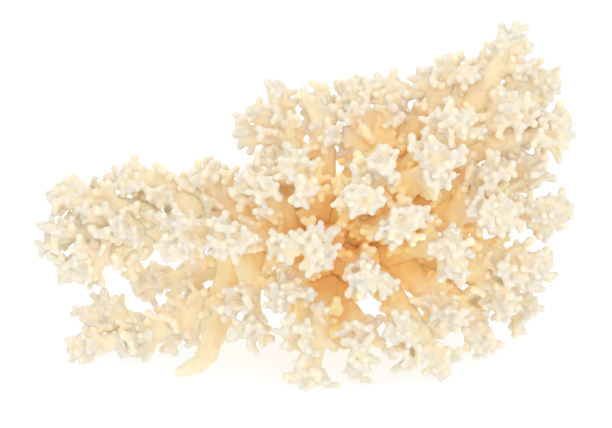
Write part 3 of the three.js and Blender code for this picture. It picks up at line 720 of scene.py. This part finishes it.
def makeMesh(name, parts):
    # the points and faces of all the tubes one after the other, from mm to metres
    verts, loops, starts, offset, used = [], [], [], 0, 0
    for points, quads, tris in parts:
        verts.append(points)
        for faces in (quads + offset, tris + offset):
            starts.append(used + np.arange(len(faces)) * faces.shape[1])
            loops.append(faces.ravel())
            used += faces.size
        offset += len(points)
    verts, loops, starts = np.vstack(verts), np.concatenate(loops), np.concatenate(starts)
    mesh = bpy.data.meshes.new(name)
    mesh.vertices.add(len(verts))
    mesh.vertices.foreach_set("co", (verts * 0.001).ravel())
    mesh.loops.add(len(loops))
    mesh.loops.foreach_set("vertex_index", loops)
    mesh.polygons.add(len(starts))
    mesh.polygons.foreach_set("loop_start", starts)
    mesh.update(calc_edges=True)
    mesh.validate()
    return mesh


def fuse(name, mesh):
    # one closed skin over all the tubes, from a voxel remesh and a light smoothing, thinned where plain
    rough = bpy.data.objects.new(name + "_rough", mesh)
    scene.collection.objects.link(rough)
    remesh = rough.modifiers.new("fuse", "REMESH")
    remesh.mode = "VOXEL"
    remesh.voxel_size = skin["voxel"] * 0.001
    smooth = rough.modifiers.new("soften", "SMOOTH")
    smooth.factor = 0.5
    smooth.iterations = skin["smoothing"]
    thin = rough.modifiers.new("thin", "DECIMATE")
    thin.ratio = skin["keep"]
    depsgraph = bpy.context.evaluated_depsgraph_get()
    fused = bpy.data.meshes.new_from_object(rough.evaluated_get(depsgraph))
    bpy.data.objects.remove(rough)
    bpy.data.meshes.remove(mesh)
    fused.validate()
    fused.name = name
    return fused


def readPoints(mesh, what):
    # three numbers for each point of the mesh
    values = np.empty(len(mesh.vertices) * 3)
    mesh.vertices.foreach_get(what, values)
    return values.reshape(-1, 3)


def cutFlat(mesh):
    # what would lie under the floor is cut away and the cut is closed
    work = bmesh.new()
    work.from_mesh(mesh)
    everything = work.verts[:] + work.edges[:] + work.faces[:]
    floor = dict(plane_co=(0, 0, 0), plane_no=(0, 0, 1))
    bmesh.ops.bisect_plane(work, geom=everything, clear_inner=True, **floor)
    rim = [edge for edge in work.edges if edge.is_boundary]
    bmesh.ops.holes_fill(work, edges=rim, sides=0)
    bmesh.ops.recalc_face_normals(work, faces=work.faces[:])
    work.to_mesh(mesh)
    work.free()


def nearest(points, targets):
    # distance from each point to the closest target
    return np.sqrt(((points[:, None] - targets[None]) ** 2).sum(2).min(1))


def waves(points, wave, seed):
    # sum of six sines in fixed random directions, a smooth lumpy field of about unit height
    rng = np.random.default_rng(seed)
    way = unit(rng.normal(size=(6, 3))) * (2 * np.pi / wave) * rng.uniform(0.7, 1.4, (6, 1))
    return np.sin(points @ way.T + rng.uniform(0, fullTurn, 6)).sum(1) / 2.5


def roughen(mesh, ends, lump):
    # lumps, grain and, away from the fingers' ends, the squares of a wave's crests as warts push the skin
    # along its normals; then the floor cuts it flat
    co, normal = readPoints(mesh, "co") * 1000, readPoints(mesh, "normal")
    push = lump * waves(co, skin["lumpWave"], 3) + skin["grain"] * waves(co, skin["grainWave"], 5)
    plain = np.clip((nearest(co, ends) - skin["wartFrom"]) / skin["wartFade"], 0, 1)
    push += skin["wart"] * plain * np.clip(waves(co, skin["wartWave"], 9), 0, 1.5) ** 2
    co = co + normal * push[:, None]
    mesh.vertices.foreach_set("co", (co * 0.001).ravel())
    mesh.update()
    if co[:, 2].min() < 0:
        cutFlat(mesh)


tint = dict(  # lengths in mm, and shares of the colour ramp, which holds painted glow and painted shade besides the skeleton's own colours
    hub=[22, 58, 0],  # the middle of the colony, in the drawing, where the painted glow is strongest
    hubShare=1.35,  # its strength at the middle, what it loses over hubLength, and its limits
    hubLength=70.0,
    hubLimits=(0.2, 1.15),
    deepest=16.0,  # past this way from the tips nothing changes
    creamLength=8.0,
    paintedGlowFrom=4.0,
    paintedGlowLength=14.0,
    whiteFrom=2.3,
    whiteLength=1.4,
    base=0.36,
    cream=0.1,
    paintedGlow=0.5,
    white=0.32,
    whiteLoss=0.6,  # how much of the white is lost away from the tips
)


def shadeSkin(mesh, tips, hub, ends):
    # each point keeps its place on the colour ramp, each a straight slope of a distance: the skeleton's own
    # pale finger ends and cream stems, a painted orange glow deep in and near the hub for light bounced
    # between and passed through the branches where the skeleton is cream, and painted shade that keeps the
    # exposed ends greyer and darker than the cream creases between them
    co = readPoints(mesh, "co") * 1000
    away = np.minimum(nearest(co, tips), tint["deepest"])
    fromHub = np.linalg.norm(co - hub, axis=1)
    nearHub = np.clip(tint["hubShare"] - fromHub / tint["hubLength"], *tint["hubLimits"])
    cream = np.clip(away / tint["creamLength"], 0, 1)
    # painted glow: orange deep in and near the hub, where the real skeleton is cream; it stands for light
    # bounced between the branches and passed through them, and lifts the shade there
    paintedGlow = np.clip((away * nearHub - tint["paintedGlowFrom"]) / tint["paintedGlowLength"], 0, 1)
    # painted shade over the skeleton's own pale ends: the last mm or two of each finger goes to the greyer,
    # darker tip colour so the ends don't outshine the rest under the light they catch, while the creases
    # between fingers keep cream as painted glow in their shade
    white = np.clip((tint["whiteFrom"] - nearest(co, ends)) / tint["whiteLength"], 0, 1)
    shade = tint["base"] + tint["cream"] * cream * nearHub + tint["paintedGlow"] * paintedGlow
    shade -= tint["white"] * white * (1 - tint["whiteLoss"] * cream)
    depth = mesh.attributes.new("depth", "FLOAT", "POINT")
    depth.data.foreach_set("value", shade.astype(np.float32))
    mesh.polygons.foreach_set("use_smooth", np.ones(len(mesh.polygons), bool))
    mesh.update()


def addNode(tree, kind, values):
    # a shader node with the sockets named in values set
    node = tree.nodes.new(kind)
    for socket, value in values.items():
        node.inputs[socket].default_value = value
    return node


def coralMaterial():
    # the ramp reads the depth of each point, which carries painted glow and painted shade as well as the
    # skeleton's own tones, plus a soft mottle and fine specks, and pores make a bump
    look = dict(
        ramp=[
            (0.08, (0.595, 0.59, 0.582, 1)),  # tip: the skeleton's pale ends, made greyer and darker than cream as painted shade against the light the ends catch
            (1.0, (1.0, 0.71, 0.29, 1)),  # core: painted orange glow, brighter than the skeleton's cream, for light bounced between and passed through the branches deep in
            (0.42, (0.85, 0.745, 0.54, 1)),  # cream: the skeleton's own colour, also kept in the creases between fingers as painted glow in their shade
            (0.72, (1.0, 0.79, 0.44, 1)),  # peach: a weaker painted glow
        ],
        mottle={"Scale": 140, "Detail": 3},
        mottleDepth=0.2,
        specks={"Scale": 480},
        speckDepth={"From Min": 0.15, "From Max": 0.45, "To Min": 0.12, "To Max": 0.0},
        pores={"Scale": 1200},
        bump={"Strength": 0.45, "Distance": 0.0003},
        skeleton={
            "Roughness": 0.8,
            "Specular IOR Level": 0.25,
            "Subsurface Weight": 1.0,
            "Subsurface Radius": (1.0, 0.8, 0.62),
            "Subsurface Scale": 0.0016,
        },
    )
    material = bpy.data.materials.new("coral")
    material.use_nodes = True
    tree = material.node_tree
    join = tree.links.new
    shader = tree.nodes["Principled BSDF"]
    for socket, value in look["skeleton"].items():
        shader.inputs[socket].default_value = value
    place = addNode(tree, "ShaderNodeTexCoord", {}).outputs["Object"]
    depth = addNode(tree, "ShaderNodeAttribute", {})
    depth.attribute_name = "depth"
    mottle = addNode(tree, "ShaderNodeTexNoise", look["mottle"])
    mottled = addNode(tree, "ShaderNodeMath", {1: look["mottleDepth"]})
    mottled.operation = "MULTIPLY_ADD"
    specks = addNode(tree, "ShaderNodeTexVoronoi", look["specks"])
    speckDepth = addNode(tree, "ShaderNodeMapRange", look["speckDepth"])
    speckled = addNode(tree, "ShaderNodeMath", {})
    ramp = addNode(tree, "ShaderNodeValToRGB", {})
    stops = ramp.color_ramp.elements
    for number, (position, colour) in enumerate(look["ramp"]):
        stop = stops[number] if number < 2 else stops.new(position)
        stop.position = position
        stop.color = colour
    pores = addNode(tree, "ShaderNodeTexVoronoi", look["pores"])
    bump = addNode(tree, "ShaderNodeBump", look["bump"])
    for texture in (mottle, specks, pores):
        join(place, texture.inputs["Vector"])
    join(mottle.outputs["Fac"], mottled.inputs[0])
    join(depth.outputs["Fac"], mottled.inputs[2])
    join(specks.outputs["Distance"], speckDepth.inputs["Value"])
    join(mottled.outputs[0], speckled.inputs[0])
    join(speckDepth.outputs["Result"], speckled.inputs[1])
    join(speckled.outputs[0], ramp.inputs["Fac"])
    join(ramp.outputs["Color"], shader.inputs["Base Color"])
    join(pores.outputs["Distance"], bump.inputs["Height"])
    join(bump.outputs["Normal"], shader.inputs["Normal"])
    return material


def makeColony():
    # every piece is skinned on its own, and its skin stands in for its solid
    coral = coralMaterial()
    stems = {name: stemTube(piece) for name, piece in colony.items()}
    flareRoots(stems)
    tips = np.vstack([stand(piece["shoots"] + piece["stem"][-1:]) for piece in colony.values()])
    hub = stand(tint["hub"])[0]
    total = 0
    for number, (name, piece) in enumerate(colony.items()):
        own = {**skin, **piece}
        parts, ends = pieceTubes(own, stems[name], hub, number)
        mesh = fuse(name + "_skin", makeMesh(name + "_tubes", parts))
        roughen(mesh, ends, own["lump"])
        shadeSkin(mesh, tips, hub, ends)
        mesh.materials.append(coral)
        total += len(mesh.vertices)
        skinned = bpy.data.objects.new(name + "_skin", mesh)
        scene.collection.objects.link(skinned)
        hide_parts(name)
        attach(skinned, "root")
    print(f"colony: {len(colony)} pieces, {total} points")


def makeStudio():
    # a pale floor that glows a little, a white world and two soft lamps
    floorLook = dict(half=6.0, below=0.00002, colour=(0.36, 0.41, 0.46, 1), glow=0.67)
    studio = dict(world=0.94, gamma=1.25, bounces=10, aim=(0, -0.01, 0.05))
    lamps = dict(
        key=dict(power=1.3, size=0.9, at=(-0.1, 0.4, 0.95)),
        fill=dict(power=4.25, size=0.6, at=(0.15, -1.2, 0.42)),
    )
    white = (1, 1, 1, 1)
    half = floorLook["half"]
    mesh = bpy.data.meshes.new("floor")
    corners = [(-half, -half, 0), (half, -half, 0), (half, half, 0), (-half, half, 0)]
    mesh.from_pydata(corners, [], [(0, 1, 2, 3)])
    floor = bpy.data.objects.new("floor", mesh)
    floor.location.z = -floorLook["below"]
    scene.collection.objects.link(floor)
    paper = bpy.data.materials.new("floor")
    paper.use_nodes = True
    shader = paper.node_tree.nodes["Principled BSDF"]
    shader.inputs["Base Color"].default_value = floorLook["colour"]
    shader.inputs["Roughness"].default_value = 1.0
    shader.inputs["Specular IOR Level"].default_value = 0.0
    shader.inputs["Emission Color"].default_value = white
    shader.inputs["Emission Strength"].default_value = floorLook["glow"]
    mesh.materials.append(paper)
    world = bpy.data.worlds.new("studio")
    world.use_nodes = True
    sky = world.node_tree.nodes["Background"]
    sky.inputs["Color"].default_value = white
    sky.inputs["Strength"].default_value = studio["world"]
    scene.world = world
    for name, setting in lamps.items():
        lamp = bpy.data.lights.new(name, "AREA")
        lamp.energy = setting["power"]
        lamp.size = setting["size"]
        holder = bpy.data.objects.new(name, lamp)
        holder.location = setting["at"]
        toAim = Vector(studio["aim"]) - holder.location
        holder.rotation_euler = toAim.to_track_quat("-Z", "Y").to_euler()
        scene.collection.objects.link(holder)
    scene.view_settings.view_transform = "Standard"
    scene.view_settings.gamma = studio["gamma"]
    scene.cycles.diffuse_bounces = studio["bounces"]
    print("studio: floor, world and", len(lamps), "lamps")


def makeCamera():
    # the drawing is 204 mm wide in the picture, its middle is the picture's, and the camera faces it
    shot = dict(distance=2.4, width=0.204, aim=(0.0, 58.67, 0.0), sensor=36)
    lens = bpy.data.cameras.new("camera")
    lens.sensor_width = shot["sensor"]
    lens.lens = shot["sensor"] * shot["distance"] / shot["width"]
    camera = bpy.data.objects.new("camera", lens)
    aim = Vector(stand([shot["aim"]])[0] * 0.001)
    lean = drawing["lean"]
    camera.location = aim + shot["distance"] * Vector((0, -math.cos(lean), math.sin(lean)))
    camera.rotation_euler = (math.pi / 2 - lean, 0, 0)
    scene.collection.objects.link(camera)
    scene.camera = camera
    print("camera: lens", round(lens.lens), "mm")


makeCamera()
makeColony()
makeStudio()
